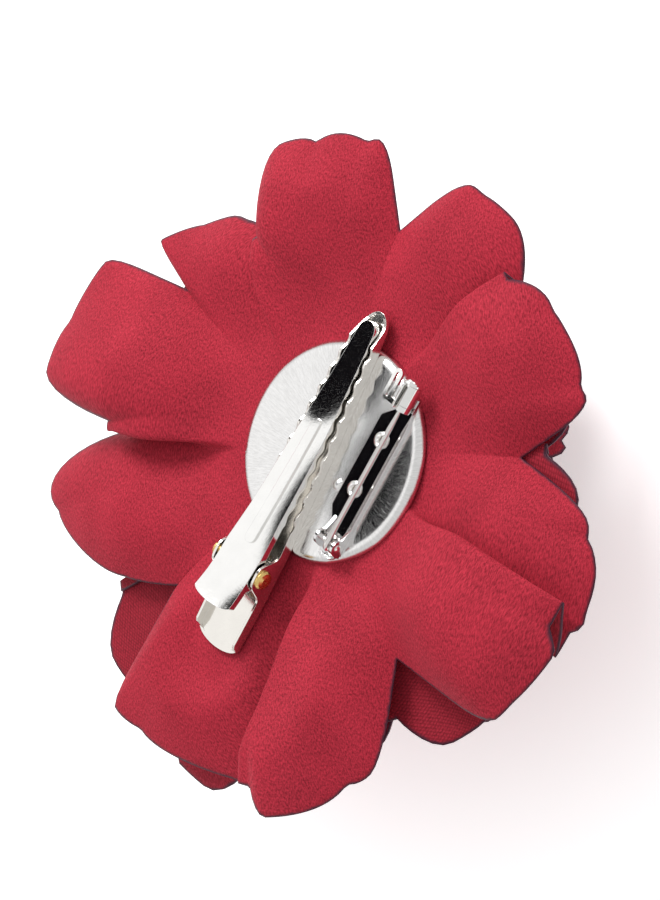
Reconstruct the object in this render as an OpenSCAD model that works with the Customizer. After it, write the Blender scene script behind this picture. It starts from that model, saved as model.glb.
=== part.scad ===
// Flower hair clip that is also a brooch.
// A round metal base carries an alligator clip and a safety pin on its back.
// Five layers of heat-edged fabric petals and a rolled bud hang from its front.
// Frame: origin at the middle of the base plate's back face, +Z out of the back,
// +Y along the clip's general direction, the flower below (negative Z).

/* [Base plate] */
// Radius of the round base plate
plate_r = 15; // [10:0.5:25]
// Depth of the plate's rolled rim
rim_h = 1.3; // [0.8:0.1:2.5]
// Thickness of the pressed plate
plate_t = 0.5; // [0.3:0.05:1]

/* [Alligator clip] */
// Direction of the clip on the plate, degrees from +X
clip_az = 59.2; // [0:0.5:180]
// Length of the lower jaw in front of the axle
jaw_front = 38.5; // [25:0.5:60]
// Length of the lower jaw behind the axle
jaw_back = 12.2; // [8:0.1:20]
// Height of the axle above the plate
axle_z = 3; // [2.5:0.1:6]
// Radius of the axle
axle_r = 0.6; // [0.4:0.05:1.5]
// Length of the lever in front of the axle
lever_front = 37; // [25:0.5:58]
// Length of the lever behind the axle
lever_back = 5.9; // [4:0.1:12]
// Sheet thickness of both jaws
sheet = 0.36; // [0.3:0.02:0.8]
// Pitch of the teeth on the jaws' edges
tooth = 2.8; // [1.5:0.1:4]

/* [Brooch pin] */
// Direction of the pin on the plate, degrees from +X
pin_az = 57; // [0:0.5:180]
// Half of the distance between the hinge and the catch
pin_half = 11.4; // [9:0.1:18]
// Height of the needle above the plate
needle_z = 2.1; // [1.8:0.05:4]
// Radius of the needle's wire
needle_r = 0.36; // [0.25:0.05:0.6]
// Outer radius of the catch's barrel
catch_r = 1.35; // [1:0.05:2]

/* [Flower] */
// Thickness of the simple petal solids
petal_t = 0.8; // [0.4:0.1:1.5]
// Middle of the flower, beside the middle of the plate
flower_x = -2; // [-5:0.5:5]
// Middle of the flower, along Y
flower_y = 0.8; // [-5:0.1:5]
// Depth from the back face to the flower's front
depth = 33; // [25:0.5:45]

/* [Hidden] */
$fn = 64;
e = 0.01;
hinge_z = 1.25;
loop_r = 0.85;
pin_y = -1.2;
ear_y = -0.75;
rivet_y = 0.25;
hole_x = 3.75;
glue_z = -1.5;
step_z = petal_t;

function smooth(a, b, x) = let (t = min(1, max(0, (x - a) / (b - a)))) t * t * (3 - 2 * t);

module clip_frame() translate([-11.6, -15.2, 0]) rotate([0, 0, clip_az]) children();
module pin_frame() translate([7.1, -2.4, 0]) rotate([0, 0, pin_az]) children();
module flower_frame() translate([flower_x, flower_y, 0]) children();

// A solid pressed from a side view (x, z) across the width
module side(w) translate([0, w / 2, 0]) rotate([90, 0, 0]) linear_extrude(w) children();

// An outline that is symmetric about X, from the half width at each x
function outline(xs, hs) = concat([for (i = [0 : len(xs) - 1]) [xs[i], hs[i]]],
                                  [for (i = [len(xs) - 1 : -1 : 0]) [xs[i], -hs[i]]]);

// ---------------------------------------------------------------- base plate
module base_plate() color([0.82, 0.82, 0.84]) difference() {
    plate_body();
    clip_frame() for (x = [9, 21]) translate([x, 0, -2]) cylinder(r = 0.7, h = 3, $fn = 32);
    pin_frame() for (x = [-hole_x, hole_x]) translate([x, rivet_y, -2]) cylinder(r = 0.85, h = 3, $fn = 32);
}
module plate_body() {
    // dished disc with a rolled rim, pressed from sheet
    rotate_extrude($fn = 128) polygon(concat(
        [[0, 0], [plate_r - 1.3, 0]],
        [for (a = [80 : -10 : 0]) [plate_r - 1.3 + 1.3 * cos(a), -1.0 + 1.0 * sin(a)]],
        [[plate_r, -rim_h], [plate_r - plate_t, -rim_h], [plate_r - plate_t, -1.0]],
        [for (a = [20 : 20 : 80]) [plate_r - 1.3 + (1.3 - plate_t) * cos(a), -1.0 + (1.0 - plate_t) * sin(a)]],
        [[plate_r - 1.3, -plate_t], [0, -plate_t]]));
    // small locating bump left by the press
    translate([1.6, -4.6, 0]) rotate_extrude($fn = 24) polygon([[0, -e], [0.75, -e], [0.6, 0.18], [0.3, 0.3], [0, 0.34]]);
}

// ---------------------------------------------------------------- glue pad
module glue_pad() color([0.9, 0.88, 0.8])
    // hot-melt that fills the plate's hollow and holds the first petals
    difference() {
        rotate_extrude($fn = 96) polygon([[0, glue_z], [plate_r - plate_t - 0.05, glue_z], [plate_r - plate_t - 0.05, -1.05],
            [plate_r - plate_t - 0.25, -0.8], [plate_r - 1.4, -plate_t], [0, -plate_t]]);
        // hollows round the rivets' tails
        clip_frame() for (x = [9, 21]) translate([x, 0, -1]) cylinder(r = 1.22, h = 2, $fn = 32);
        pin_frame() for (x = [-hole_x, hole_x]) translate([x, rivet_y, -1]) cylinder(r = 1.32, h = 2, $fn = 32);
    }

// ---------------------------------------------------------------- lower jaw
jaw_w = [[-12, 3.95], [-3, 4.15], [3, 4.15], [8, 3.9], [15, 3.62], [20, 3.35], [28, 2.75], [33, 2.4], [36, 2.05], [38, 1.8], [40, 1.7]];
function jaw_half(x, inset = 0) = let (x0 = -jaw_back + inset, x1 = jaw_front - inset, w = lookup(x, jaw_w) - inset)
    x < x0 + 1.6 ? w * sqrt(max(0.0004, 1 - pow((x0 + 1.6 - x) / 1.6, 2)))
    : x > x1 - 2.2 ? w * sqrt(max(0.0004, 1 - pow((x - x1 + 2.2) / 2.2, 2))) : w;
function jaw_xs(inset = 0) = let (x0 = -jaw_back + inset, x1 = jaw_front - inset)
    concat([for (a = [0 : 12 : 84]) x0 + 1.6 * (1 - cos(a))], [-7.2, -3, 3, 8, 15, 20, 28, 33],
           [for (a = [90 : -15 : 0]) x1 - 2.2 + 2.2 * cos(a)]);
module jaw_plan(inset = 0) { xs = jaw_xs(inset); polygon(outline(xs, [for (x = xs) jaw_half(x, inset)])); }
// Height of the lower jaw's side walls
function jaw_top(x) = x < -5 ? 0.3 + 1.3 * smooth(-11.3, -10.3, x)
    : x < 7 ? 1.6 + (axle_z + 1.45 - 1.6) * exp(-pow(x / 2.4, 4))
    : x < 34 ? 1.6 + 0.27 * sin(360 * x / tooth) : 1.6 - 1.05 * smooth(34, 37.6, x);
jaw_side_xs = concat([for (x = [-12.6 : 0.5 : -3.8]) x], [for (x = [-3.5 : 0.35 : 3.5]) x],
                     [4.2, 5, 6], [for (x = [7 : 0.35 : 34]) x], [35, 36, 37, 38, 38.8]);

module clip_lower_jaw() color([0.85, 0.85, 0.86]) clip_frame() difference() {
    union() {
        linear_extrude(sheet) jaw_plan();
        intersection() {
            linear_extrude(8) difference() { jaw_plan(); jaw_plan(sheet); }
            side(12) polygon(concat([for (x = jaw_side_xs) [x, jaw_top(x)]], [[38.8, 0], [-12.6, 0]]));
        }
    }
    // axle holes in the two ears
    translate([0, 0, axle_z]) rotate([90, 0, 0]) cylinder(r = axle_r, h = 12, center = true, $fn = 48);
    // rivet holes in the floor
    for (x = [9, 21]) translate([x, 0, -1]) cylinder(r = 0.7, h = 3, $fn = 32);
}

// ---------------------------------------------------------------- lever (upper jaw)
lever_w = [[-8, 3.6], [-5.4, 3.55], [-2.5, 3.38], [2.5, 3.38], [8, 2.95], [15, 2.72], [20, 2.5], [28, 1.92], [33, 1.62], [36, 1.42], [40, 1.3]];
function lever_half(x, inset = 0) = let (x0 = -lever_back + inset, x1 = lever_front - inset, w = lookup(x, lever_w) - inset)
    x < x0 + 0.9 ? w * sqrt(max(0.0004, 1 - pow((x0 + 0.9 - x) / 0.9, 2)))
    : x > x1 - 1.4 ? w * sqrt(max(0.0004, 1 - pow((x - x1 + 1.4) / 1.4, 2))) : w;
function lever_xs(inset = 0) = let (x0 = -lever_back + inset, x1 = lever_front - inset)
    concat([for (a = [0 : 12 : 84]) x0 + 0.9 * (1 - cos(a))], [-2.5, 2.5, 8, 15, 20, 28, 33],
           [for (a = [90 : -15 : 0]) x1 - 1.4 + 1.4 * cos(a)]);
module lever_plan(inset = 0) { xs = lever_xs(inset); polygon(outline(xs, [for (x = xs) lever_half(x, inset)])); }
// Height of the lever's back: a long arch, turned up at the thumb end
function lever_top(x) = x >= 0 ? 2 + 2.65 * pow(max(0, lever_front - x) / lever_front, 1.9)
    : 4.65 - 0.136 * x + 0.021 * x * x;
// Lower edge of its side walls
function lever_low(x) = x < -2.2 ? lever_top(x) - 1.05
    : x < 2.4 ? min(lever_top(x) - 1.05, axle_z - 1.4 + 2.4 * pow(abs(x - 0.1) / 2.4, 3.2))
    : x < 7.5 ? lever_top(x) - 1.05
    : x < 33 ? lever_top(x) - 1.05 + 0.2 * sin(360 * x / tooth) : lever_top(x) - 1.05;
lever_side_xs = concat([for (x = [-6.5 : 0.4 : 7]) x], [for (x = [7.35 : 0.35 : 33]) x], [33.8, 34.8, 35.6, 36.4, 37.2]);

module clip_upper_jaw() color([0.8, 0.8, 0.82]) clip_frame() translate([0, -0.15, 0]) difference() {
    union() {
        intersection() {
            linear_extrude(12) lever_plan();
            side(12) polygon(concat([for (x = lever_side_xs) [x, lever_top(x)]],
                [for (i = [len(lever_side_xs) - 1 : -1 : 0]) let (x = lever_side_xs[i]) [x, lever_top(x) - sheet]]));
        }
        intersection() {
            linear_extrude(12) difference() { lever_plan(); lever_plan(sheet); }
            side(12) polygon(concat([for (x = lever_side_xs) [x, lever_top(x) - sheet / 2]],
                [for (i = [len(lever_side_xs) - 1 : -1 : 0]) let (x = lever_side_xs[i]) [x, lever_low(x)]]));
        }
        // long stiffening rib pressed up along the back
        intersection() {
            linear_extrude(12) polygon(concat([for (a = [90 : 15 : 270]) [4.3 + 0.9 * cos(a), 0.9 * sin(a)]],
                                              [for (a = [-90 : 15 : 90]) [21.6 + 0.72 * cos(a), 0.72 * sin(a)]]));
            side(12) polygon(concat([for (x = lever_side_xs) [x, lever_top(x) + 0.24]],
                [for (i = [len(lever_side_xs) - 1 : -1 : 0]) let (x = lever_side_xs[i]) [x, lever_top(x) - sheet / 2]]));
        }
    }
    translate([0, 0, axle_z]) rotate([90, 0, 0]) cylinder(r = axle_r + 0.05, h = 12, center = true, $fn = 48);
    // stepped lip at the thumb end
    intersection() {
        linear_extrude(12) difference() {
            translate([-2, -6]) square([2.6 - lever_back + 2, 12]);
            translate([0.95, 0]) lever_plan();
        }
        side(12) polygon([[-7, lever_top(-7) - 0.2], [-lever_back + 0.2, lever_top(-5.7) - 0.2], [-4, lever_top(-4) - 0.2], [-4, 12], [-7, 12]]);
    }
}

// ---------------------------------------------------------------- axle
module clip_axle() color([0.83, 0.66, 0.3]) clip_frame() translate([0, 0, axle_z]) rotate([90, 0, 0])
    // straight pin with a peened head at each end
    rotate_extrude($fn = 48) polygon([[0, -5.05], [0.7, -4.98], [1.15, -4.75], [1.35, -4.4], [1.35, -4.15], [axle_r, -4.15],
        [axle_r, 4.15], [1.35, 4.15], [1.35, 4.4], [1.15, 4.75], [0.7, 4.98], [0, 5.05]]);

// ---------------------------------------------------------------- spring
// Tube of a round wire swept along a list of points
function unit(v) = v / norm(v);
module wire(p, r, n = 8) {
    m = len(p);
    dir = [for (i = [0 : m - 1]) unit(p[min(m - 1, i + 1)] - p[max(0, i - 1)])];
    pts = [for (i = [0 : m - 1]) let (s = unit(cross(dir[i], [0.13, 1, 0.07])), t = cross(dir[i], s))
           for (k = [0 : n - 1]) p[i] + r * (cos(360 * k / n) * s + sin(360 * k / n) * t)];
    polyhedron(points = pts, faces = concat([[for (k = [0 : n - 1]) k]],
        [for (i = [0 : m - 2]) for (k = [0 : n - 1]) [i * n + k, i * n + n + k, i * n + n + (k + 1) % n, i * n + (k + 1) % n]],
        [[for (k = [n - 1 : -1 : 0]) (m - 1) * n + k]]), convexity = 8);
}
spring_r = 0.92;
spring_wire = 0.22;
// Four and a half turns round the axle, one leg under the lever's thumb end, one on the lower jaw
spring_path = concat([[-4.7, -1.62, 4.98], [-2.4, -1.62, 4.36]],
    [for (i = [0 : 72]) let (a = 75 - i * 22.5) [spring_r * cos(a), -1.62 + 3.24 * i / 72, axle_z + spring_r * sin(a)]],
    [[-3.2, 1.62, 1.2], [-6.6, 1.62, 0.68]]);
module clip_spring() color([0.6, 0.6, 0.62]) clip_frame() wire(spring_path, spring_wire);

// ---------------------------------------------------------------- rivets
module clip_rivets() color([0.75, 0.75, 0.77]) clip_frame() for (x = [9, 21]) translate([x, 0, 0])
    // two short rivets through the jaw's floor and the plate
    rotate_extrude($fn = 32) polygon([[0, -0.98], [1.2, -0.98], [1.2, -plate_t], [0.7, -plate_t], [0.7, sheet], [1.25, sheet],
        [1.1, sheet + 0.3], [0.6, sheet + 0.45], [0, sheet + 0.5]]);

// ---------------------------------------------------------------- pin bar
bar_t = 0.45;
module bar_plan() polygon(concat(
    [for (a = [90 : 15 : 270]) [-pin_half - 0.5 + 1.9 * cos(a), ear_y + 1.75 * sin(a)]],
    [[-pin_half + 2.4, -2.5], [-pin_half + 4.2, -2.5], [6.6, -2.5], [9.2, -2.1], [pin_half - 0.4, -2.1],
     [pin_half - 0.4, -0.2], [9.2, -0.2], [6.6, 2.4], [-pin_half + 4.2, 2.4], [-pin_half + 2.4, 1.2]]));
module pin_bar() color([0.86, 0.86, 0.87]) pin_frame() difference() {
    union() {
        linear_extrude(bar_t) bar_plan();
        // hinge ears
        for (s = [-1, 1]) translate([0, ear_y + s * 1.6, 0]) side(0.42)
            polygon(concat([[-pin_half - 1.4, 0], [-pin_half - 1.4, 0.8]],
                [for (a = [165 : -15 : 0]) [-pin_half + 1.15 * cos(a), hinge_z + 1.1 * sin(a)]],
                [[-pin_half + 2.1, 0.85], [-pin_half + 3.2, bar_t], [-pin_half + 3.2, 0]]));
        // upturned stop at the end of the bar
        intersection() {
            linear_extrude(0.85) bar_plan();
            translate([-pin_half - 2.5, ear_y - 2, 0]) cube([0.6, 4, 0.85]);
        }
        // saddle under the barrel
        translate([pin_half - 1.6, pin_y - 0.75, 0]) cube([1.2, 1.5, needle_z - catch_r + 0.12]);
    }
    // hinge rivet holes
    translate([-pin_half, 0, hinge_z]) rotate([90, 0, 0]) cylinder(r = 0.35, h = 8, center = true, $fn = 32);
    // window under the needle's loop
    translate([-pin_half - 1.65, pin_y - 0.75, -1]) cube([3.1, 1.5, 3]);
    // two rivet holes
    for (x = [-hole_x, hole_x]) translate([x, rivet_y, -1]) cylinder(r = 0.85, h = 3, $fn = 32);
    // seat of the barrel
    translate([pin_half - 3, pin_y, needle_z]) rotate([0, 90, 0]) cylinder(r = catch_r, h = 6, $fn = 48);
}

// ---------------------------------------------------------------- hollow rivets of the bar
module pin_rivets() color([0.8, 0.8, 0.82]) pin_frame() for (x = [-hole_x, hole_x]) translate([x, rivet_y, 0])
    rotate_extrude($fn = 32) polygon([[0.42, -0.98], [1.3, -0.98], [1.3, -plate_t], [0.85, -plate_t], [0.85, bar_t],
        [1.15, bar_t], [1.12, bar_t + 0.22], [0.85, bar_t + 0.36], [0.58, bar_t + 0.26], [0.42, bar_t]]);

// ---------------------------------------------------------------- hinge rivet
module pin_hinge_rivet() color([0.75, 0.75, 0.76]) pin_frame() translate([-pin_half, ear_y, hinge_z]) rotate([90, 0, 0])
    rotate_extrude($fn = 32) polygon([[0, -2.08], [0.3, -2.05], [0.52, -1.92], [0.52, -1.81], [0.35, -1.81],
        [0.35, 1.81], [0.52, 1.81], [0.52, 1.92], [0.3, 2.05], [0, 2.08]]);

// ---------------------------------------------------------------- needle
module pin_needle() color([0.88, 0.88, 0.9]) pin_frame() {
    // eye of the wire round the rivet
    translate([-pin_half, pin_y, hinge_z]) rotate([90, 0, 0]) rotate_extrude($fn = 48) translate([loop_r, 0]) circle(r = needle_r + 0.02, $fn = 24);
    // stiffer stretch where the shank leaves the eye
    translate([-pin_half, pin_y, needle_z]) rotate([0, 90, 0]) cylinder(r1 = needle_r + 0.12, r2 = needle_r, h = 3.2, $fn = 32);
    // straight shank
    translate([-pin_half + 3.1, pin_y, needle_z]) rotate([0, 90, 0]) cylinder(r = needle_r, h = 14.5, $fn = 32);
    // ground point
    translate([-pin_half + 17.6 - e, pin_y, needle_z]) rotate([0, 90, 0]) cylinder(r1 = needle_r, r2 = 0.06, h = 5.8, $fn = 32);
}

// ---------------------------------------------------------------- catch
bore_r = catch_r - 0.3;
module catch_housing() color([0.84, 0.84, 0.85]) pin_frame() translate([pin_half, pin_y, needle_z]) difference() {
    translate([-1.65, 0, 0]) rotate([0, 90, 0]) cylinder(r = catch_r, h = 2.85, $fn = 48);
    translate([-3, 0, 0]) rotate([0, 90, 0]) cylinder(r = bore_r, h = 6, $fn = 48);
    // slot where the needle drops in
    translate([-3, -0.36, 0]) cube([6, 0.72, 3]);
}
loop_y = 2.95;
module catch_rotor() color([0.86, 0.86, 0.88]) pin_frame() translate([pin_half, pin_y, needle_z]) difference() {
    union() {
        translate([-1.8, 0, 0]) rotate([0, 90, 0]) cylinder(r = bore_r - 0.05, h = 3.2, $fn = 48);
        // collar
        translate([-2.45, 0, 0]) rotate([0, 90, 0]) cylinder(r = catch_r - 0.02, h = 0.75, $fn = 48);
        // domed end
        translate([1.25, 0, 0]) rotate([0, 90, 0]) rotate_extrude($fn = 48) polygon(concat([[0, 0], [catch_r, 0]],
            [for (a = [0 : 15 : 90]) [catch_r * cos(a), 0.1 + 0.75 * sin(a)]]));
        // thumb loop beside the barrel, on a short arm from the collar
        difference() {
            translate([0, 0, -0.22]) linear_extrude(0.44) union() {
                translate([-2.45, 0.9]) square([0.75, 1.6]);
                polygon(concat([for (a = [-90 : 15 : 90]) [1.3 + 0.76 * cos(a), loop_y + 0.76 * sin(a)]],
                               [for (a = [90 : 15 : 270]) [-1.75 + 0.76 * cos(a), loop_y + 0.76 * sin(a)]]));
            }
            translate([0, 0, -1]) linear_extrude(2) polygon(concat(
                [for (a = [-90 : 15 : 90]) [1.3 + 0.24 * cos(a), loop_y + 0.24 * sin(a)]],
                [for (a = [90 : 15 : 270]) [-1.75 + 0.24 * cos(a), loop_y + 0.24 * sin(a)]]));
        }
    }
    // needle slot, from the axis out, and the end of its bore
    translate([-3, -0.34, -0.34]) cube([3.9, 0.68, 4]);
    translate([0.85, 0, 0]) rotate([0, 90, 0]) cylinder(r = 0.32, h = 0.4, $fn = 32);
}

// ---------------------------------------------------------------- petals
// Each layer is one cut sheet: five two-lobed petals between five notches.
// A layer is [notch angles, notch radii, crease angles, reaches of the ten lobes, [flat radius, droop, exponent, span], order]
layer_1 = [[-5, 70, 139, 215, 295], [31, 30, 34, 32, 31.5], [33, 113, 173, 254, 332],
           [41, 40, 43, 41, 53, 50, 47.5, 48, 45, 49], [17.6, -1.0, 1.0, 32], 0];
layer_2 = [[33, 105, 177, 250, 324], [22, 22, 25, 24, 22], [68, 141, 214, 288, 356],
           [33, 35, 42, 45, 47, 47, 41, 39, 36, 35], [12, 7.0, 1.35, 34], 1];
layer_3 = [[-4, 68, 140, 212, 284], [20, 20, 21, 20, 20], [32, 104, 176, 248, 320],
           [35, 36, 34, 37, 38, 36, 37, 38, 36, 34], [10, 15, 1.4, 30], 2];
layer_4 = [[31, 103, 175, 247, 319], [16, 16, 16, 16, 16], [67, 139, 211, 283, 355],
           [30, 29, 30, 31, 30, 29, 30, 31, 29, 30], [8, 29, 1.25, 23], 3];
layer_5 = [[-6, 66, 138, 210, 282], [12, 12, 12, 12, 12], [30, 102, 174, 246, 318],
           [20, 21, 20, 21, 21, 20, 20, 21, 20, 21], [6, 28, 1.0, 15.5], 4];

function wrap(a) = a - 360 * floor(a / 360);
// Where an angle lies between two of the layer's marks: [petal number, lobe 0 or 1, 0 at the notch to 1 at the crease]
function place(L, a) = let (
    k = [for (i = [0 : 4]) if (wrap(a - L[0][i]) < wrap(L[0][(i + 1) % 5] - L[0][i])) i][0],
    n0 = L[0][k], n1 = L[0][(k + 1) % 5], c = L[2][k], f = wrap(a - n0), w0 = wrap(c - n0), w1 = wrap(n1 - c))
    f < w0 ? [k, 0, f / w0] : [k, 1, 1 - (f - w0) / w1];
function rim(L, a) = let (q = place(L, a), n = q[1] == 0 ? L[1][q[0]] : L[1][(q[0] + 1) % 5], top = L[3][2 * q[0] + q[1]])
    n + (top - n) * pow(sin(90 * min(1, q[2] / 0.5)), 0.8) * (1 - 0.16 * pow(q[2], 6));
function drop(L, r) = let (p = L[4]) glue_z - step_z * L[5]
    - (p[1] < 0 ? p[1] * smooth(p[0], p[0] + p[3] / 2, r) : p[1] * pow(max(0, r - p[0]) / p[3], p[2]));
module petals(L, na = 90, nr = 6) {
    r0 = 1.2;
    top = [for (j = [0 : na - 1]) let (a = 360 * j / na, R = rim(L, a)) for (i = [0 : nr]) let (
        s = i / nr, r = r0 + (R - r0) * s, q = place(L, a),
        fold = -0.7 * smooth(17.6, 32, r) * exp(-pow((1 - q[2]) * 5, 2)))
        [r * cos(a), r * sin(a), drop(L, r) + fold]];
    n = nr + 1;
    all = concat(top, [for (p = top) [p[0], p[1], p[2] - petal_t]]);
    m = len(top);
    polyhedron(points = all, faces = concat(
        [for (j = [0 : na - 1]) for (i = [0 : nr - 1]) let (a = j * n + i, b = ((j + 1) % na) * n + i) each [[a, b, b + 1], [a, b + 1, a + 1]]],
        [for (j = [0 : na - 1]) for (i = [0 : nr - 1]) let (a = m + j * n + i, b = m + ((j + 1) % na) * n + i) each [[a, b + 1, b], [a, a + 1, b + 1]]],
        [for (j = [0 : na - 1]) let (a = j * n, b = ((j + 1) % na) * n) each [[a, m + b, b], [a, m + a, m + b]]],
        [for (j = [0 : na - 1]) let (a = j * n + nr, b = ((j + 1) % na) * n + nr) each [[a, b, m + b], [a, m + b, m + a]]]),
        convexity = 10);
}
module petal_layer_1() color([0.72, 0.1, 0.18]) flower_frame() petals(layer_1);
module petal_layer_2() color([0.62, 0.08, 0.15]) flower_frame() petals(layer_2);
module petal_layer_3() color([0.72, 0.1, 0.18]) flower_frame() petals(layer_3);
module petal_layer_4() color([0.62, 0.08, 0.15]) flower_frame() petals(layer_4);
module petal_layer_5() color([0.72, 0.1, 0.18]) flower_frame() petals(layer_5);

// ---------------------------------------------------------------- bud
bud_z = glue_z - 5 * step_z;
module bud_petal_outer() color([0.66, 0.09, 0.16]) flower_frame() rotate_extrude($fn = 48)
    polygon([[2.2, bud_z], [3.9, bud_z], [5.1, bud_z - 3], [8.2, bud_z - 8], [10.3, bud_z - 15], [11.2, -depth], [10.4, -depth],
             [9.5, bud_z - 15], [7.4, bud_z - 8], [4.4, bud_z - 3.2], [3.5, bud_z - 0.8], [2.2, bud_z - 0.8]]);
module bud_petal_inner() color([0.66, 0.09, 0.16]) flower_frame() rotate_extrude($fn = 48)
    polygon([[1.2, bud_z - 0.9], [3.2, bud_z - 0.9], [4.0, bud_z - 3.4], [6.0, bud_z - 9], [6.9, -depth + 1], [6.1, -depth + 1],
             [5.2, bud_z - 9], [3.3, bud_z - 3.6], [2.6, bud_z - 1.7], [1.2, bud_z - 1.7]]);
module bud_core() color([0.6, 0.08, 0.14]) flower_frame() rotate_extrude($fn = 40)
    polygon([[0, bud_z - 1.8], [1.8, bud_z - 1.8], [2.6, bud_z - 4], [3.9, bud_z - 9], [4.3, -depth + 6], [3.4, -depth + 2], [0, -depth + 1]]);
module center_thread() color([0.5, 0.06, 0.1]) flower_frame()
    // knotted thread that gathers the layers and the bud
    rotate_extrude($fn = 32) polygon([[0, glue_z], [1.1, glue_z], [1.1, bud_z - 1.75], [0, bud_z - 1.75]]);

base_plate();
glue_pad();
clip_lower_jaw();
clip_upper_jaw();
clip_axle();
clip_spring();
clip_rivets();
pin_bar();
pin_rivets();
pin_hinge_rivet();
pin_needle();
catch_housing();
catch_rotor();
petal_layer_1();
petal_layer_2();
petal_layer_3();
petal_layer_4();
petal_layer_5();
bud_petal_outer();
bud_petal_inner();
bud_core();
center_thread();
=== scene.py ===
# %% [markdown]
# # Flower hair clip, lying face down
# The object is a five-petalled flower of red satin-backed crepe, glued to a small round metal base.
# The back of the base carries an alligator clip and a safety pin with a turning catch.
# The metal comes from the CAD model. The cloth is made here, because it is thin, folded and soft.

# %% Load the frame
import math
import bpy
import numpy as np
from mathutils import Matrix, Vector


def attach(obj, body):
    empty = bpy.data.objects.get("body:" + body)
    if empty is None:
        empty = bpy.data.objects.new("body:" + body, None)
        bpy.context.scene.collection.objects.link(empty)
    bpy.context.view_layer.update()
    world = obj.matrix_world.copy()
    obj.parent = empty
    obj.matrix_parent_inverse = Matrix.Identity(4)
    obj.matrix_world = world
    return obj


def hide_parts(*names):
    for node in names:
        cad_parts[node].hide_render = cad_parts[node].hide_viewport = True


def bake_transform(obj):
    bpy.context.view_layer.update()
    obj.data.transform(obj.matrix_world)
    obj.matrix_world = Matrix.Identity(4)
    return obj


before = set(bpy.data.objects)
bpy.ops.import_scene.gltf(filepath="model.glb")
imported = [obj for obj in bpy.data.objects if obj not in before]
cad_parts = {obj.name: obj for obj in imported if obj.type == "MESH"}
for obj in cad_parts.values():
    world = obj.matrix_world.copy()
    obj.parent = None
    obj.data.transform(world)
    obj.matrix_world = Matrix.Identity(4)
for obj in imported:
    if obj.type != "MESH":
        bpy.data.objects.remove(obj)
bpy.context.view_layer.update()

# %% [markdown]
# ## Measures shared with the metal
# All lengths in the formulas are in millimetres, and one factor turns them into metres at the end.
# The flower's middle sits a little beside the middle of the plate, as hand-glued flowers do.
# The cloth's thickness is a guess: crepe of this kind is about a third of a millimetre thick.

# %% Shared measures
MM = 0.001
MIDDLE = np.array([-2.0, 0.8])
PLATE_R = 15.0
GLUE_Z = -1.5
FLOOR_Z = -33.6
LAYER_STEP = 0.8
CLOTH_THICK = 0.34
STRIP_THICK = 0.3


def smooth(a, b, x):
    """0 below a, 1 above b, and the cubic 3t^2 - 2t^3 between them."""
    t = np.clip((x - a) / (b - a), 0, 1)
    return t * t * (3 - 2 * t)


def blend_min(a, b, k):
    """The smaller of a and b, with the corner between them rounded over a width of about k."""
    h = np.clip(0.5 + 0.5 * (b - a) / k, 0, 1)
    return b * (1 - h) + a * h - k * h * (1 - h)


# %% [markdown]
# ## From a grid to a mesh
# Every new piece is a surface of two parameters. The points are worked out as whole arrays,
# then one helper gives them to Blender, with the cut's flat coordinates as the UV map,
# so that the weave lies along the cloth as it would have on the table before it was cut.

# %% Grid helper
def grid_piece(name, points, flat=None, edge=None, closed=False, flip=False):
    """A mesh from points[i, j]: quads join neighbours, and the last column joins the first if closed.
    flat holds each point's place on the flat cut, in metres, and edge its distance to the cut edge,
    in mm. flip turns the faces round."""
    rows, cols = points.shape[:2]
    index = np.arange(rows * cols).reshape(rows, cols)
    right = np.roll(index, -1, axis=1) if closed else index[:, 1:]
    left = index if closed else index[:, :-1]
    quads = np.stack([left[:-1], right[:-1], right[1:], left[1:]], -1).reshape(-1, 4)
    if flip:
        quads = quads[:, ::-1]
    mesh = bpy.data.meshes.new(name)
    mesh.from_pydata((points.reshape(-1, 3) * MM).tolist(), [], quads.tolist())
    if flat is not None:
        layer = mesh.uv_layers.new(name="cut")
        loops = np.empty(len(mesh.loops), dtype=np.int32)
        mesh.loops.foreach_get("vertex_index", loops)
        layer.data.foreach_set("uv", flat.reshape(-1, 2)[loops].astype(np.float32).ravel())
    if edge is not None:
        mark = mesh.attributes.new("edge", "FLOAT", "POINT")
        mark.data.foreach_set("value", edge.reshape(-1).astype(np.float32))
    mesh.polygons.foreach_set("use_smooth", np.ones(len(mesh.polygons), dtype=bool))
    mesh.update()
    piece = bpy.data.objects.new(name, mesh)
    bpy.context.scene.collection.objects.link(piece)
    return piece


def thicken(piece, thickness):
    """Gives a sheet its thickness in mm, half of it on each side."""
    skin = piece.modifiers.new("cloth_thickness", "SOLIDIFY")
    skin.thickness = thickness * MM
    skin.offset = 0.0


# %% [markdown]
# ## Shader maths as plain expressions
# Node trees read badly when each node is made by hand. A small wrapper lets the patterns
# be written as sums and products, and one method adds any other node.

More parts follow.
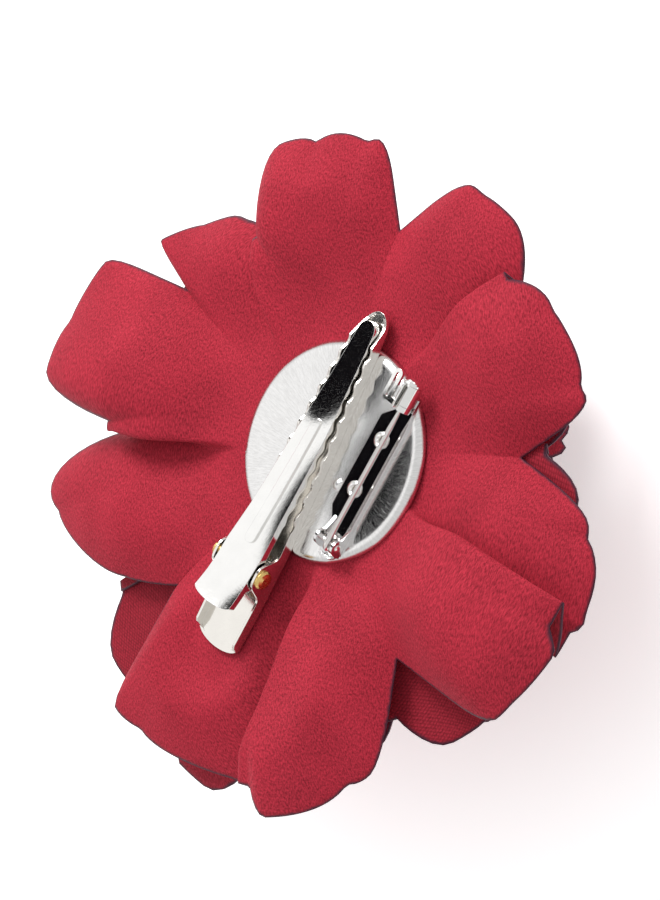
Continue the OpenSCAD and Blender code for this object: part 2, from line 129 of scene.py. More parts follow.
# %% Socket wrapper
class Signal:
    """One output socket of a shader tree, with operators that add Math nodes."""

    def __init__(self, tree, socket):
        self.tree = tree
        self.socket = socket

    def math(self, kind, *others, clamp=False):
        """The result of one Math node on this value and the others."""
        node = self.tree.nodes.new("ShaderNodeMath")
        node.operation = kind
        node.use_clamp = clamp
        for slot, value in zip(node.inputs, (self,) + others):
            if isinstance(value, Signal):
                self.tree.links.new(value.socket, slot)
            else:
                slot.default_value = float(value)
        return Signal(self.tree, node.outputs[0])

    def __add__(self, other):
        return self.math("ADD", other)

    def __sub__(self, other):
        return self.math("SUBTRACT", other)

    def __rsub__(self, other):
        return (self * -1.0) + other

    def __mul__(self, other):
        return self.math("MULTIPLY", other)

    def __truediv__(self, other):
        return self.math("DIVIDE", other)

    __radd__ = __add__
    __rmul__ = __mul__

    def sin(self):
        return self.math("SINE")

    def abs(self):
        return self.math("ABSOLUTE")

    def clip(self):
        """Held between 0 and 1."""
        return self.math("ADD", 0.0, clamp=True)

    def ramp(self, low, high):
        """0 at low, 1 at high, held outside."""
        return ((self - low) * (1.0 / (high - low))).clip()

    def fade(self, dark, light):
        """A colour between two, by this factor."""
        node = self.tree.nodes.new("ShaderNodeMix")
        node.data_type = "RGBA"
        self.tree.links.new(self.socket, node.inputs["Factor"])
        for slot, value in ((node.inputs[6], dark), (node.inputs[7], light)):
            if isinstance(value, Signal):
                self.tree.links.new(value.socket, slot)
            else:
                slot.default_value = (*value, 1.0)
        return Signal(self.tree, node.outputs[2])


class Finish:
    """A material with a Principled shader. look() sets constants on the shader's own sockets."""

    def __init__(self, name):
        self.material = bpy.data.materials.new(name)
        self.material.use_nodes = True
        self.tree = self.material.node_tree
        self.shader = self.tree.nodes["Principled BSDF"]

    def parts(self, where):
        """X, Y and Z of a vector as three signals."""
        node = self.tree.nodes.new("ShaderNodeSeparateXYZ")
        self.tree.links.new(where.socket, node.inputs[0])
        return [Signal(self.tree, slot) for slot in node.outputs]

    def node(self, kind, out=0, inputs=None, **settings):
        """The output of any other node: its settings are made first, then its inputs."""
        node = self.tree.nodes.new(kind)
        for key, value in settings.items():
            setattr(node, key, value)
        for key, value in (inputs or {}).items():
            if isinstance(value, Signal):
                self.tree.links.new(value.socket, node.inputs[key])
            else:
                node.inputs[key].default_value = value
        return Signal(self.tree, node.outputs[out])

    def look(self, **values):
        for key, value in values.items():
            is_colour = isinstance(value, tuple)
            self.shader.inputs[key.replace("_", " ")].default_value = (*value, 1.0) if is_colour else value

    def feed(self, slot, signal):
        """Links a pattern to one of the shader's own sockets."""
        self.tree.links.new(signal.socket, self.shader.inputs[slot])

    def place(self, kind="Object", scale=(1, 1, 1), turn=0.0):
        """Coordinates of the piece, or its UV map, turned about Z and scaled."""
        where = self.node("ShaderNodeTexCoord", out=kind)
        placing = {"Vector": where, "Scale": scale, "Rotation": (0, 0, turn)}
        return self.node("ShaderNodeMapping", inputs=placing)

    def noise(self, where, scale, detail=3.0, rough=0.5):
        """Cloudy noise from 0 to 1, with that many clouds to the metre."""
        clouds = {"Vector": where, "Scale": scale, "Detail": detail, "Roughness": rough}
        return self.node("ShaderNodeTexNoise", inputs=clouds)

    def bump(self, height, strength, distance):
        """Raises the surface by height x distance (metres)."""
        relief = {"Height": height, "Strength": strength, "Distance": distance}
        self.feed("Normal", self.node("ShaderNodeBump", inputs=relief))


# %% [markdown]
# ## The cloth's finish
# The petals are cut from satin-backed crepe. Its matt side has short twisted yarns that
# catch the light as slanting specks, with a soft sheen at grazing angles. Each petal's edge was
# sealed with a hot blade, which leaves a thin dark line. The weave is drawn on the cut's flat
# coordinates, and the dark line on the distance to the edge that each mesh carries.

# %% Cloth finish
SEALED_RED = (0.050, 0.012, 0.026)
YARNS_PER_METRE = 9000.0


def cloth_finish(name, deep, bright, weave=0.0, turn=0.95):
    """Red crepe: specks slanting by turn, crossed by finer yarns, broad soft mottling, and a dark edge where
    the distance to the cut is under about half a millimetre. weave is the share of a plain grid in it."""
    f = Finish(name)
    f.look(Roughness=0.8, Sheen_Weight=0.07, Sheen_Roughness=0.45, Sheen_Tint=(1.0, 0.35, 0.42),
           Specular_IOR_Level=0.18)
    slanted = f.place("UV", scale=(6500, 2400, 1), turn=turn)
    crossed = f.place("UV", scale=(2100, 4200, 1), turn=turn - 0.5)
    specks = f.noise(slanted, 1.0, detail=2.0, rough=0.6)
    yarns = f.noise(crossed, 1.0, detail=2.0)
    mottle = f.noise(f.place("UV"), 130.0)
    tone = specks.ramp(0.36, 0.64) * 0.6 + yarns.ramp(0.35, 0.65) * 0.22 + mottle.ramp(0.3, 0.7) * 0.18
    height = specks * 0.7 + yarns * 0.3
    if weave:
        plain, across, _ = f.parts(f.place("UV", turn=0.35))
        grid = (plain * YARNS_PER_METRE).sin().abs() * (across * YARNS_PER_METRE).sin().abs()
        tone = tone * (1.0 - weave) + grid * weave
        height = height + grid * weave
    cloth = tone.fade(deep, bright)
    edge = f.node("ShaderNodeAttribute", out="Fac", attribute_name="edge")
    wander = f.noise(f.place("UV"), 900.0, detail=2.0) * 0.34
    sealed = (edge + wander).ramp(0.55, 0.24)
    f.feed("Base Color", sealed.fade(cloth, SEALED_RED))
    f.feed("Roughness", 0.86 - tone * 0.16 - sealed * 0.3)
    f.bump(height + sealed * 0.8, 0.5, 0.00012)
    return f.material


CLOTH_BACK = cloth_finish("red_crepe", (0.15, 0.005, 0.012), (0.53, 0.026, 0.052))
# The second layer's red is the back layer's made about a fifth darker. That darkening is painted shade, for
# the layer lies under the back layer. Its plain weave is the cloth's own.
CLOTH_UNDER_SHADE_PAINTED = cloth_finish("red_crepe_plain_painted_shade", (0.12, 0.004, 0.010), (0.42, 0.020, 0.040),
                           weave=0.45, turn=0.4)
CLOTH_FRONT = cloth_finish("red_satin_front", (0.14, 0.005, 0.012), (0.45, 0.023, 0.046), turn=1.4)
print("cloth finishes", CLOTH_BACK.name, CLOTH_UNDER_SHADE_PAINTED.name, CLOTH_FRONT.name)

# %% [markdown]
# ## The metal's finish
# All the steel is nickel plated. The plate is satin: faint brush marks run outwards from its middle,
# and it is pressed very slightly domed. The clip and the pin are polished, with handling scratches.
# The heads of the clip's axle are brass.

# %% Metal finish
BRUSH_MIDDLE = (0.004, -0.004)
RAYS = 26.0
RINGS = 260.0
CLOUD_DEPTH = 0.000004
BRUSH_DEPTH = 0.000005


def metal_finish(name, tint, rough, scratch=0.35, dome=0.0, brush=0.0, edge=0.00009):
    """Metal with cloudy roughness and fine scratches, and corners that look rounded by edge (metres).
    dome is the slope per metre away from the plate's middle, as a height of dome r^2 / 2, and brush
    the strength of the marks that run outwards: noise over the direction (many steps) and the
    distance (few steps) from the middle of the brushing."""
    f = Finish(name)
    f.look(Metallic=1.0, Roughness=rough)
    here = f.place()
    cloud = f.noise(here, 420.0, detail=4.0)
    fine = f.noise(f.place(scale=(1, 7, 1), turn=-0.6), 1500.0, detail=3.0, rough=0.7)
    tone = (cloud * 0.6 + fine * 0.4).ramp(0.3, 0.7)
    worn = rough + (cloud - 0.5) * (0.5 * rough) + fine.ramp(0.52, 0.8) * (scratch * 0.3)
    height = (fine - 0.5) * (scratch * CLOUD_DEPTH) + (cloud - 0.5) * CLOUD_DEPTH
    if dome or brush:
        back = (-BRUSH_MIDDLE[0], -BRUSH_MIDDLE[1], 0)
        x, y, _ = f.parts(f.node("ShaderNodeMapping", inputs={"Vector": here, "Location": back}))
        square = x * x + y * y
        far = square.math("SQRT")
        polar = {"X": x / far * RAYS, "Y": y / far * RAYS, "Z": far * RINGS}
        ray = f.node("ShaderNodeCombineXYZ", inputs=polar)
        marks = f.noise(ray, 3.0, detail=5.0, rough=0.75)
        worn = worn + marks.ramp(0.45, 0.8) * brush * 0.2
        tone = tone * (1 - 0.7 * brush) + marks.ramp(0.4, 0.62) * (0.7 * brush)
        height = height + square * (-0.5 * dome) + marks * (brush * BRUSH_DEPTH)
    f.feed("Base Color", tone.fade(tuple((0.93 - 0.13 * brush) * t for t in tint), tint))
    f.feed("Roughness", worn)
    soft = f.node("ShaderNodeBevel", inputs={"Radius": edge}, samples=6)
    relief = {"Height": height, "Strength": 1.0, "Distance": 1.0, "Normal": soft}
    f.feed("Normal", f.node("ShaderNodeBump", inputs=relief))
    return f.material


NICKEL = (0.93, 0.92, 0.90)
WARM_NICKEL = (0.86, 0.83, 0.78)
METALS = {
    "base_plate": metal_finish("nickel_satin_plate", (0.89, 0.88, 0.87), 0.09,
                               dome=3.5, brush=1.0, edge=0.0005),
    "clip_lower_jaw": metal_finish("nickel_jaw", WARM_NICKEL, 0.13),
    "clip_upper_jaw": metal_finish("nickel_lever", NICKEL, 0.055),
    "clip_axle": metal_finish("brass_axle", (0.80, 0.56, 0.20), 0.22, scratch=0.8),
    "clip_rivets": metal_finish("nickel_rivets", WARM_NICKEL, 0.18),
    "pin_bar": metal_finish("nickel_bar", (0.74, 0.73, 0.73), 0.05, scratch=0.2),
    "pin_rivets": metal_finish("nickel_pin_rivets", NICKEL, 0.12),
    "pin_hinge_rivet": metal_finish("nickel_hinge_rivet", NICKEL, 0.12),
    "pin_needle": metal_finish("needle_steel", (0.80, 0.77, 0.75), 0.09, edge=0.00003),
    "catch_housing": metal_finish("nickel_catch", NICKEL, 0.07, edge=0.00004),
    "catch_rotor": metal_finish("nickel_catch_rotor", NICKEL, 0.07, edge=0.00004),
}
SPRING_STEEL = metal_finish("spring_steel", (0.62, 0.61, 0.60), 0.22, edge=0.00002)


# %% [markdown]
# ## Each CAD node gets its finish
# The glue is milky and a little wavy, because it set without being pressed flat. The thread's
# strands are stripes across its length, shaken a little by noise so that they look twisted.

# %% Finishes of the CAD nodes
def give(node, material):
    """Puts one material in every slot of a CAD node."""
    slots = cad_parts[node].data.materials
    slots.clear()
    slots.append(material)


for node_name, metal in METALS.items():
    give(node_name, metal)

glue = Finish("hot_glue")
glue.look(Roughness=0.35, Subsurface_Weight=0.3, Subsurface_Scale=0.002, IOR=1.48)
glue_waves = glue.noise(glue.place(), 300.0, detail=3.0)
glue.feed("Base Color", glue_waves.ramp(0.3, 0.7).fade((0.60, 0.54, 0.42), (0.78, 0.73, 0.62)))
glue.feed("Roughness", 0.3 + glue_waves * 0.25)
glue.bump(glue_waves, 0.6, 0.0004)
give("glue_pad", glue.material)

thread = Finish("red_thread")
thread.look(Roughness=0.7, Sheen_Weight=0.3)
_, _, thread_z = thread.parts(thread.place())
strands = (thread_z * YARNS_PER_METRE + thread.noise(thread.place(), 700.0) * 6.0).sin()
thread.feed("Base Color", strands.ramp(-1, 1).fade((0.20, 0.006, 0.014), (0.55, 0.03, 0.06)))
thread.bump(strands, 0.8, 0.00015)
give("center_thread", thread.material)
print("metals", len(METALS))

# %% [markdown]
# ## One layer of petals
# A layer is one flat cut: five notches divide five petals, and each petal has two lobes with
# shallow scallops. Down its middle every petal is pinched into a pleat, so that one lobe lies
# over the other. The pleat is a fold that goes over, back and on again, which an angle that
# runs forward, back and forward gives, while the height steps down from the upper lobe to the lower.
# Angles are in degrees, from the X axis towards Y, and lengths in millimetres.

# %% Marks of a layer
class Layer:
    """Marks of one layer. For each of five petals: the notch before it (angle, radius notch_r), its crease
    (angle, and slant in degrees per mm), which flap of the pleat lies over the other (1 or -1), how far
    they overlap (degrees) and the lift between them (mm). For each of the ten lobes: radius crease_r at
    the crease, reach_in near the crease, reach_out near the notch, the degrees that the corner beside the
    crease takes to round off, and the angle vee of the V beside the notch. scallop is the depth of the
    scallops (mm)."""

    def __init__(self, scallop=1.0, **marks):
        self.scallop = scallop
        for key, values in marks.items():
            setattr(self, key, np.array(values, float))


def turn_from(a, b):
    """Signed angle from b to a in degrees, from -180 to 180."""
    return (a - b + 180.0) % 360.0 - 180.0


def angles_of(layer, count):
    """Angles round the layer, closer together near the notches and the pleats. Each of these adds a bell
    to the density of points, and the angles are where the running sum of the density passes equal steps."""
    a = np.linspace(0, 360, 7201)
    density = np.ones_like(a)
    for marks, gain, width in ((layer.creases, 3.2, 7.0), (layer.notches, 2.4, 4.0)):
        near = np.abs(turn_from(a[:, None], marks[None, :]))
        density += (gain * np.exp(-((near / width) ** 2))).sum(1)
    run = np.concatenate([[0], np.cumsum((density[1:] + density[:-1]) / 2)])
    return np.interp(np.linspace(0, run[-1], count, endpoint=False), run, a)


def lobe_places(layer, angle):
    """For each angle: its petal, its lobe (0 before the crease, 1 after it), the way from crease (0) to
    notch (1), and the angular distance to the lobe's notch with that notch's number."""
    from_notch = (angle[:, None] - layer.notches[None, :]) % 360.0
    petal = from_notch.argmin(1)
    crease = layer.creases[petal]
    before = turn_from(angle, crease) < 0
    notch = np.where(before, petal, (petal + 1) % 5)
    span = np.abs(turn_from(layer.notches[notch], crease))
    way = np.abs(turn_from(angle, crease)) / span
    gap = np.abs(turn_from(angle, layer.notches[notch]))
    return petal, np.where(before, 0, 1), way, gap, notch


PLEAT_HALF = 4.6
SCALLOPS = 3.1
FAR_OUT = 400.0
CORNER_BLEND = 5.0


def rim_of(layer, angle):
    """Radius of the cut edge. From the crease, measured on the pleated cloth, a lobe rises from its crease
    radius to its reach as the sine of a quarter turn to the power 0.9, then runs straight to its reach at
    the notch, less the scallops: about three to a lobe, whose cusps point inwards as the absolute value of
    a sine does, and whose places and depths shift from lobe to lobe. Beside a notch the edge is the side
    of a V, radius = notch x sin(v) / sin(v - gap), and the smaller of the two holds."""
    petal, lobe, way, gap, notch = lobe_places(layer, angle)
    number = 2 * petal + lobe
    s = np.abs(turn_from(angle, layer.creases[petal])) / PLEAT_HALF
    off = PLEAT_HALF * s - (PLEAT_HALF + layer.overlap[petal] / 2) * s * np.exp((1 - s * s) / 2)
    off = np.where(s < 1, 0, off)
    rise = np.sin(np.pi / 2 * np.clip(off / layer.corner[number], 0, 1)) ** 0.9
    top = layer.reach_in[number] + (layer.reach_out[number] - layer.reach_in[number]) * way
    phase = np.pi * (SCALLOPS * way + 0.35 * number) + 0.5 * np.sin(9 * way + number)
    wave = 1 - np.abs(np.sin(phase)) ** 0.6
    top = top - layer.scallop * wave * (0.7 + 0.5 * np.sin(2.7 * number + 4 * way))
    bulge = layer.crease_r[number] + (top - layer.crease_r[number]) * rise
    vee = np.radians(layer.vee[number])
    inside = np.clip(vee - np.radians(gap), 0.03, None)
    side = layer.notch_r[notch] * np.sin(vee) / np.sin(inside)
    side = np.where(np.radians(gap) > vee - 0.035, FAR_OUT, side)
    return blend_min(side, bulge, CORNER_BLEND)


# %% [markdown]
# ## Folding the layer
# The flat cut becomes cloth in three steps. The pleats shift each angle and lift or lower it.
# The back layer's lobes are crowned, since the crepe was pressed over a warm ball. At last the
# lower layers droop as a whole, more and more towards the front of the flower. The cloth stays
# below the clip, which presses on it.

# %% Folding
PLEAT_STARTS = 13.5
PLEAT_FULL = 30.0
HOLE_R = 1.3


def fold(layer, angle, radius, rim):
    """Angle and height after pleating. With s = (angle - crease) / half, the angle moves by
    -A s exp((1 - s^2) / 2), A being half plus half the overlap, and the height falls by
    lift x tanh(2.2 s), dying away as exp(-(s / 4.2)^2). Both grow from the start of the pleat outwards.
    The crease leans: it turns by slant for every millimetre inwards from the rim."""
    moved = np.repeat(angle[None, :], len(radius), 0).astype(float)
    height = np.zeros(radius.shape)
    grow = smooth(PLEAT_STARTS, PLEAT_FULL, radius)
    pleats = zip(layer.creases, layer.slant, layer.over, layer.overlap, layer.lift)
    for crease, slant, side, lap, lift in pleats:
        end = np.interp(crease % 360, angle, rim)
        lean = slant * np.clip(end - radius, 0, None)
        s = turn_from(angle[None, :], crease + lean) / PLEAT_HALF
        amount = (PLEAT_HALF + lap / 2) * grow
        moved = moved - amount * s * np.exp((1 - s * s) / 2)
        height = height - side * lift * grow * np.tanh(2.2 * s) * np.exp(-((s / 4.2) ** 2))
    return moved, height


CLIP_TAIL = np.array([-17.8, -25.7])
CLIP_AHEAD = np.array([0.512, 0.859])
CLIP_LONG = 50
CLIP_HALF_WIDE = 4.5
CLIP_UNDERSIDE = -0.5


def room_below_clip(x, y):
    """Highest that cloth may lie: just under the clip near its line, and 0.3 mm more for each mm away."""
    from_tail = (x - CLIP_TAIL[0]) * CLIP_AHEAD[0] + (y - CLIP_TAIL[1]) * CLIP_AHEAD[1]
    along = np.clip(from_tail, 0, CLIP_LONG)
    off_line = np.hypot(x - CLIP_TAIL[0] - along * CLIP_AHEAD[0], y - CLIP_TAIL[1] - along * CLIP_AHEAD[1])
    return CLIP_UNDERSIDE + 0.3 * np.clip(off_line - CLIP_HALF_WIDE, 0, None)


def layer_surface(layer, count, rings, body):
    """Points of a layer, its flat cut and the distance to the cut edge. body(radius, angle, share) is the
    height of the unpleated layer, share running from 0 at the middle to 1 at the edge. The power 0.82
    sets the rings closer towards the edge. The cut edge's distance is measured square to the edge."""
    angle = angles_of(layer, count)
    rim = rim_of(layer, angle)
    share = np.linspace(0, 1, rings) ** 0.82
    radius = HOLE_R + (rim[None, :] - HOLE_R) * share[:, None]
    moved, height = fold(layer, angle, radius, rim)
    place = np.radians(moved)
    level = body(radius, angle[None, :], share[:, None])
    x = MIDDLE[0] + radius * np.cos(place)
    y = MIDDLE[1] + radius * np.sin(place)
    points = np.stack([x, y, blend_min(height + level, room_below_clip(x, y), 1.2)], -1)
    cut = np.radians(angle)[None, :]
    steps = np.sqrt(np.diff(radius, axis=0) ** 2 + np.diff(level, axis=0) ** 2)
    reach = HOLE_R + np.concatenate([np.zeros_like(steps[:1]), np.cumsum(steps, 0)])
    flat = np.stack([reach * np.cos(cut), reach * np.sin(cut)], -1) * MM
    slope = np.gradient(rim, np.radians(angle)) / rim
    edge = (rim[None, :] - radius) / np.sqrt(1 + slope[None, :] ** 2)
    return points, flat, edge


def ripple(radius, angle, seed, depth):
    """Slow waves round the layer that grow outwards: a sum of four sines of whole numbers of waves,
    each of a random height and phase, and lower the more waves it has."""
    pick = np.random.default_rng(seed)
    total = 0.0
    for waves in (2, 3, 5, 8):
        high = pick.uniform(-1, 1)
        phase = pick.uniform(0, 6.28)
        total = total + high * np.sin(np.radians(waves * angle) + phase) / waves ** 0.5
    return depth * total * smooth(10, 45, radius)


def make_layer(name, layer, count, rings, body, finish):
    points, flat, edge = layer_surface(layer, count, rings, body)
    piece = grid_piece(name, points, flat, edge, closed=True)
    piece.data.materials.append(finish)
    thicken(piece, CLOTH_THICK)
    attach(piece, "base")


# %% [markdown]
# ## The back layer
# This is the largest layer, and the one that the plate is glued to. It lies flat under the plate.
# Outside it each lobe is crowned, and sinks again towards the cut edge.

# %% Back layer
BACK = Layer(
    notches=[-5, 69.3, 138.5, 216, 295.5],
    notch_r=[31.1, 30.3, 34.7, 31.4, 31.5],
    creases=[34, 111.3, 172, 260, 327],
    slant=[0.13, 0.8, 0.3, 0.3, 0.05],
    over=[1, 1, 1, -1, 1],
    overlap=[2.5, 2.5, 3.0, 4.0, 8.0],
    lift=[2.0, 2.4, 3.8, 3.0, 2.4],
    crease_r=[36, 35.5, 31, 31, 36, 34.5, 41, 46, 46.5, 46.5],
    reach_in=[40.7, 40.5, 42.0, 34.0, 49.5, 60.0, 45.5, 52.5, 50.3, 52.5],
    reach_out=[42.2, 40.0, 42.0, 45.0, 49.5, 32.0, 49.8, 41.0, 46.0, 38.0],
    corner=[12, 12, 11, 9, 7, 15, 7, 4, 3, 4],
    vee=[33, 37, 30, 9, 19, 41, 21, 32, 35, 29])


def back_body(radius, angle, share):
    """Flat under the plate, then a slow rise, crowned lobes, and an edge that turns down. The crown is an
    arch across each lobe, sin(180 way^0.8)^1.3, which fades over the last part of the way to the edge."""
    way = lobe_places(BACK, angle[0])[2]
    crown = (np.sin(np.pi * np.clip(way, 0, 1) ** 0.8) ** 1.3)[None, :]
    rise = GLUE_Z + 0.9 * smooth(PLATE_R, 30, radius)
    domed = 4.2 * crown * smooth(17, 36, radius) * (1 - 0.85 * share ** 5)
    return rise + domed - 1.6 * share ** 6 + ripple(radius, angle, 3, 0.9)


make_layer("petals_back", BACK, 620, 60, back_body, CLOTH_BACK)

# %% [markdown]
# ## The layers below
# The next layers are smaller and droop further towards the front. Parts of their petals show
# in the notches and below the rim of the back layer. The second layer's cloth is made darker than the back
# layer's, as painted shade.

# %% Lower layers
def cup(order, flat_r, depth, power, span, curl, seed):
    """Height of a lower layer: its place in the stack, then a droop of depth x ((r - flat_r) / span)^power
    outside flat_r, slow ripples and a rim that curls back by curl."""
    def body(radius, angle, share):
        droop = depth * (np.clip(radius - flat_r, 0, None) / span) ** power
        return (GLUE_Z - LAYER_STEP * order - droop + curl * smooth(0.72, 1.0, share) ** 2
                + ripple(radius, angle, seed, 0.8))
    return body


def lower(notches, notch_r, creases, reach, over, overlap, lift, vee=30):
    """A lower layer: heart-shaped lobes, each as long at the crease side as at the notch side. The smaller
    the angle vee of the notches, the wider the petals."""
    reach = np.array(reach, float)
    return Layer(
        notches=notches, notch_r=notch_r, creases=creases, slant=[0.1] * 5,
        over=over, overlap=[overlap] * 5, lift=[lift] * 5,
        crease_r=0.86 * reach, reach_in=reach, reach_out=reach,
        corner=[9] * 10, vee=[vee] * 10, scallop=0.9)


SECOND = lower(
    notches=[33, 105, 177, 250, 324], notch_r=[22, 22, 25, 24, 22], creases=[68, 141, 206, 288, 356],
    reach=[30, 29, 37, 43, 35, 48, 41, 44, 40, 37], over=[1, -1, 1, -1, 1], overlap=3, lift=0.6)
THIRD = lower(
    notches=[-4, 68, 140, 212, 284], notch_r=[20, 20, 21, 20, 20], creases=[32, 104, 176, 248, 320],
    reach=[29, 29, 29, 33, 34, 37, 52, 41, 43, 30], over=[1] * 5, overlap=2, lift=0.5)
FOURTH = lower(
    notches=[31, 103, 175, 247, 319], notch_r=[13] * 5, creases=[67, 139, 211, 283, 355],
    reach=[26, 27, 27, 28, 28, 29, 28, 27, 26, 25], over=[-1] * 5, overlap=2, lift=0.4, vee=12)
FIFTH = lower(
    notches=[-6, 66, 138, 210, 282], notch_r=[9] * 5, creases=[30, 102, 174, 246, 318],
    reach=[19, 20, 19, 20, 20, 20, 20, 20, 19, 20], over=[1] * 5, overlap=1, lift=0.3, vee=12)

second_cup = cup(order=1, flat_r=12, depth=4.4, power=1.35, span=34, curl=0.4, seed=11)
third_cup = cup(order=2, flat_r=10, depth=7.5, power=1.4, span=34, curl=0.8, seed=12)
fourth_cup = cup(order=3, flat_r=8, depth=29, power=1.25, span=23, curl=1.0, seed=13)
fifth_cup = cup(order=4, flat_r=6, depth=28, power=1.0, span=15.5, curl=1.0, seed=14)
# The second layer's darker red is painted shade.
make_layer("petals_second", SECOND, 420, 40, second_cup, CLOTH_UNDER_SHADE_PAINTED)
make_layer("petals_third", THIRD, 360, 36, third_cup, CLOTH_FRONT)
make_layer("petals_fourth", FOURTH, 320, 36, fourth_cup, CLOTH_FRONT)
make_layer("petals_fifth", FIFTH, 280, 36, fifth_cup, CLOTH_FRONT)
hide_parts("petal_layer_1")
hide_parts("petal_layer_2")
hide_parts("petal_layer_3")
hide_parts("petal_layer_4")
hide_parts("petal_layer_5")

# %% [markdown]
# ## The bud
# The middle of the flower is rolled, not layered: strips of cloth wound round the knot. Each strip is a
# spiral in plan and a slim cup in profile, with a scalloped rim, so it shows as petals from the front.

# %% Bud
def rolled(name, node, base_r, rim_r, top_z, low_z, turns, apart, rim_waves, start):
    """A strip wound round the flower's axis. At height share h its radius is
    base + (rim - base) x sin(90 h)^1.3, plus apart for each turn (less near the base), plus three slow
    waves and a flare in time with the scallops. Its rim rises and falls as the absolute value of a sine."""
    around = np.linspace(0, 2 * np.pi * turns, int(150 * turns))
    share = np.linspace(0, 1, 44)[:, None]
    lift = 1 - 0.07 * (1 - np.abs(np.sin(rim_waves * around / 2))) ** 1.5 - 0.04 * np.sin(1.7 * around) ** 2
    flare = np.sin(np.pi / 2 * share) ** 1.3
    radius = base_r + (rim_r - base_r) * flare + apart * around / (2 * np.pi) * (0.35 + 0.65 * share)
    radius = radius + 0.35 * share * np.sin(3 * around + start)
    radius = radius + 0.9 * smooth(0.82, 1.0, share) * np.sin(rim_waves * around / 2) ** 2
    height = top_z + (low_z - top_z) * share * lift
    turn = around[None, :] + start + 0.15 * share
    points = np.stack([MIDDLE[0] + radius * np.cos(turn), MIDDLE[1] + radius * np.sin(turn),
                       height + 0 * turn], -1)
    steps = np.linalg.norm(np.diff(points, axis=0), axis=-1)
    rise = np.concatenate([np.zeros_like(radius[:1]), np.cumsum(steps, 0)])
    run = np.concatenate([[0], np.cumsum(np.diff(around) * radius[-12].mean())])
    flat = np.stack([run[None, :] + 0 * rise, rise], -1) * MM
    piece = grid_piece(name, points, flat, rise[-1:] - rise, flip=True)
    piece.data.materials.append(CLOTH_FRONT)
    thicken(piece, STRIP_THICK)
    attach(piece, "base")
    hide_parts(node)


rolled("bud_outer", "bud_petal_outer", base_r=2.6, rim_r=9.6, top_z=-6.1, low_z=-33.0,
       turns=1.25, apart=1.2, rim_waves=4.0, start=0.4)
rolled("bud_inner", "bud_petal_inner", base_r=2.2, rim_r=5.9, top_z=-6.6, low_z=-32.2,
       turns=1.3, apart=0.9, rim_waves=4.6, start=2.2)
rolled("bud_middle", "bud_core", base_r=1.2, rim_r=2.0, top_z=-7.4, low_z=-31.4,
       turns=2.4, apart=0.8, rim_waves=3.4, start=4.0)

# %% [markdown]
# ## The spring
# Four and a half turns of wire round the axle. One leg presses under the thumb end of the lever, and
# the other on the handle of the lower jaw. The wire is one fixed piece, joined to neither body.

# %% Spring
CLIP_AT = np.array([-11.6, -15.2, 0.0])
CLIP_TURN = math.radians(59.2)
AXLE_Z = 3.0
COIL_R = 0.92
COIL_HALF = 1.62
WIRE_R = 0.22
END_CAP = [-0.01, 0, 0]


def clip_place(local):
    """Points of the clip's own frame, x along it to the tips, in the shared frame."""
    c, s = math.cos(CLIP_TURN), math.sin(CLIP_TURN)
    return CLIP_AT + local @ np.array([[c, s, 0], [-s, c, 0], [0, 0, 1]])


def wire_tube(name, path, radius, sides=14):
    """A round wire along a path of points: a ring across the path at each, shrunk to almost nothing at
    the first and the last, which closes the ends when the path repeats its end points."""
    ahead = np.gradient(path, axis=0)
    ahead = ahead / np.linalg.norm(ahead, axis=1, keepdims=True)
    out = np.cross(ahead, np.array([0.13, 1.0, 0.07]))
    out = out / np.linalg.norm(out, axis=1, keepdims=True)
    over = np.cross(ahead, out)
    turn = np.linspace(0, 2 * np.pi, sides, endpoint=False)
    scale = np.ones(len(path))
    scale[[0, -1]] = 0.02
    ring = np.cos(turn)[None, :, None] * out[:, None] + np.sin(turn)[None, :, None] * over[:, None]
    return grid_piece(name, path[:, None] + ring * (radius * scale)[:, None, None], closed=True)


coil_share = np.linspace(0, 1, 260)
coil_angle = np.radians(75 - 4.5 * 360 * coil_share)
coil = np.stack([COIL_R * np.cos(coil_angle), -COIL_HALF + 2 * COIL_HALF * coil_share,
                 AXLE_Z + COIL_R * np.sin(coil_angle)], -1)
leg_up = np.linspace([-4.7, -COIL_HALF, 4.98], [-2.4, -COIL_HALF, 4.36], 12)
leg_low = np.linspace([-3.2, COIL_HALF, 1.2], [-6.6, COIL_HALF, 0.68], 14)
lead_in = np.linspace(leg_up[-1], coil[0], 12)[1:-1]
lead_out = np.linspace(coil[-1], leg_low[0], 12)[1:-1]
spring_path = np.concatenate([leg_up[:1], leg_up, lead_in, coil, lead_out, leg_low, leg_low[-1:]])
spring_path[0] = leg_up[0] + END_CAP
spring_path[-1] = leg_low[-1] + END_CAP
spring = wire_tube("spring", clip_place(spring_path), WIRE_R)
spring.data.materials.append(SPRING_STEEL)
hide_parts("clip_spring")
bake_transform(spring)
print("spring points", len(spring.data.vertices))

# %% [markdown]
# ## Floor, light and camera
# The flower lies face down on a plain pale light table, which glows a little, so shadows stay weak.
# The room is bright, a window stands behind the flower, and a softbox hangs where the metal mirrors it.
# The camera looks down from the right, 38.7 degrees from straight above. The plate is round, and
# looks narrower from left to right because of that. The lens is set so that a millimetre at the
# plate fills 7.56 parts in 900 of the view's height.

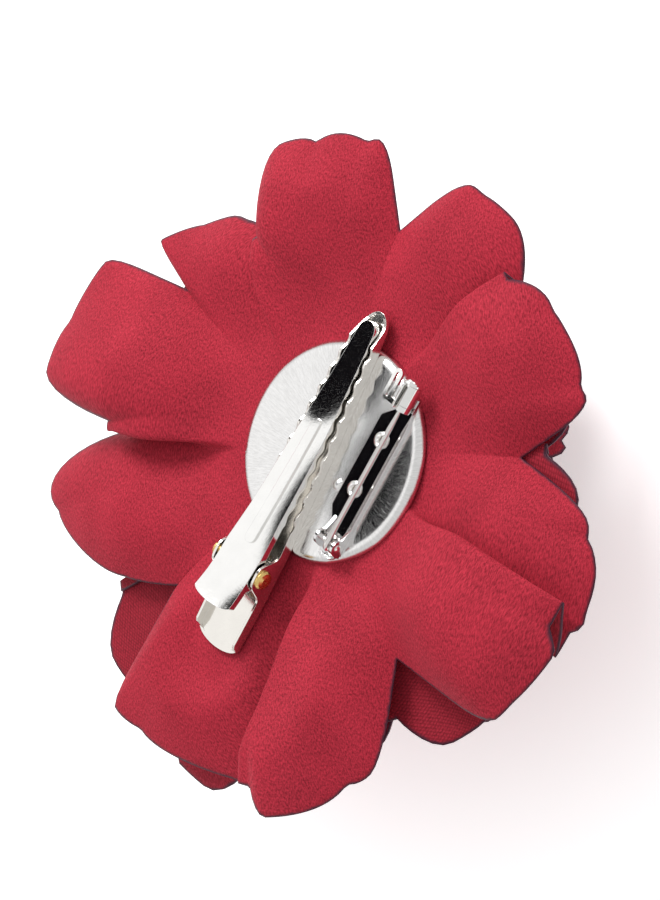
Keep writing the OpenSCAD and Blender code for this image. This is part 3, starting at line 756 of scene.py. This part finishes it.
# %% Camera
TILT = math.radians(38.7)
SWING = math.radians(-12)
DISTANCE = 0.56
PARTS_PER_MM = 7.56
PARTS_HIGH = 900
SENSOR = 36
away = Vector((math.sin(TILT) * math.cos(SWING), math.sin(TILT) * math.sin(SWING), math.cos(TILT)))
side = Vector((-math.sin(SWING), math.cos(SWING), 0))
across = side.cross(away)
right = (math.cos(SWING) * across - math.sin(SWING) * side).normalized()
up = away.cross(right)
camera = bpy.data.objects.new("camera", bpy.data.cameras.new("camera"))
camera.data.sensor_width = SENSOR
camera.data.lens = PARTS_PER_MM * DISTANCE * 1000 / PARTS_HIGH * SENSOR
camera.data.shift_x = 0.4 / PARTS_HIGH
camera.data.shift_y = 0.4 / PARTS_HIGH
camera.data.clip_start = 0.01
camera.matrix_world = Matrix.Translation(away * DISTANCE) @ Matrix((right, up, away)).transposed().to_4x4()
bpy.context.scene.collection.objects.link(camera)
bpy.context.scene.camera = camera
print("lens", round(camera.data.lens, 1))

# %% Floor
floor_finish = Finish("pale_table")
floor_finish.look(Base_Color=(0.93, 0.93, 0.935), Roughness=0.6,
                  Emission_Color=(1.0, 1.0, 1.0), Emission_Strength=0.42)
floor_finish.feed("Roughness", 0.55 + floor_finish.noise(floor_finish.place(), 40.0) * 0.1)
TABLE_HALF = 3000.0
floor_points = np.array([[[-TABLE_HALF, -TABLE_HALF, FLOOR_Z], [TABLE_HALF, -TABLE_HALF, FLOOR_Z]],
                         [[-TABLE_HALF, TABLE_HALF, FLOOR_Z], [TABLE_HALF, TABLE_HALF, FLOOR_Z]]])
table_top = grid_piece("table_top", floor_points)
table_top.data.materials.append(floor_finish.material)


# %% Lights
def soft_light(name, place, size, power):
    """A square white area light of that size, aimed at the flower."""
    lamp = bpy.data.lights.new(name, "AREA")
    lamp.size = size
    lamp.energy = power
    holder = bpy.data.objects.new(name, lamp)
    holder.location = place
    holder.rotation_euler = (-Vector(place)).to_track_quat("-Z", "Y").to_euler()
    bpy.context.scene.collection.objects.link(holder)


soft_light("softbox", (-0.55, 0.12, 0.70), size=1.1, power=1.2)
soft_light("window", (-0.15, 0.68, 0.66), size=0.4, power=7.6)
world = bpy.data.worlds.new("studio")
world.use_nodes = True
bpy.context.scene.world = world
bright_room = world.node_tree.nodes["Background"]
bright_room.inputs["Color"].default_value = (1.0, 1.0, 1.0, 1)
bright_room.inputs["Strength"].default_value = 0.75
bpy.context.scene.view_settings.view_transform = "Standard"

# %% [markdown]
# Polished metal needs something dark to reflect, or it looks like grey plastic. Two small black cards
# hang over the clip's tips and over the pin. They are seen only in reflections, and take no light away.

# %% Black cards
CARD_AWAY = 45
CARD_TURN = math.radians(59)


def dark_card(name, seen_at, half_long, half_wide):
    """A black oval card where a level mirror at seen_at (mm) shows it to the camera. It lies square to the
    mirrored line of sight, with its long way along the clip."""
    mirror = np.array([-away.x, -away.y, away.z])
    middle = np.array(seen_at, float) + CARD_AWAY * mirror
    along = np.array([math.cos(CARD_TURN), math.sin(CARD_TURN), 0.0])
    along = along - mirror * (along @ mirror)
    along = along / np.linalg.norm(along)
    beside = np.cross(mirror, along)
    turn = np.linspace(0, 2 * np.pi, 96, endpoint=False)
    rim = middle + half_long * np.cos(turn)[:, None] * along + half_wide * np.sin(turn)[:, None] * beside
    card = grid_piece(name, np.stack([0 * rim + middle, rim]), closed=True)
    black = Finish(name + "_black")
    black.look(Base_Color=(0.004, 0.004, 0.005), Roughness=1.0, Specular_IOR_Level=0.0)
    card.data.materials.append(black.material)
    card.visible_camera = False
    card.visible_shadow = False
    card.visible_diffuse = False


dark_card("card_over_lever", (7.9, 15.1, 0.0), half_long=9.5, half_wide=4.5)
dark_card("card_over_pin", (10.8, -4.9, 0.0), half_long=13.5, half_wide=7.3)
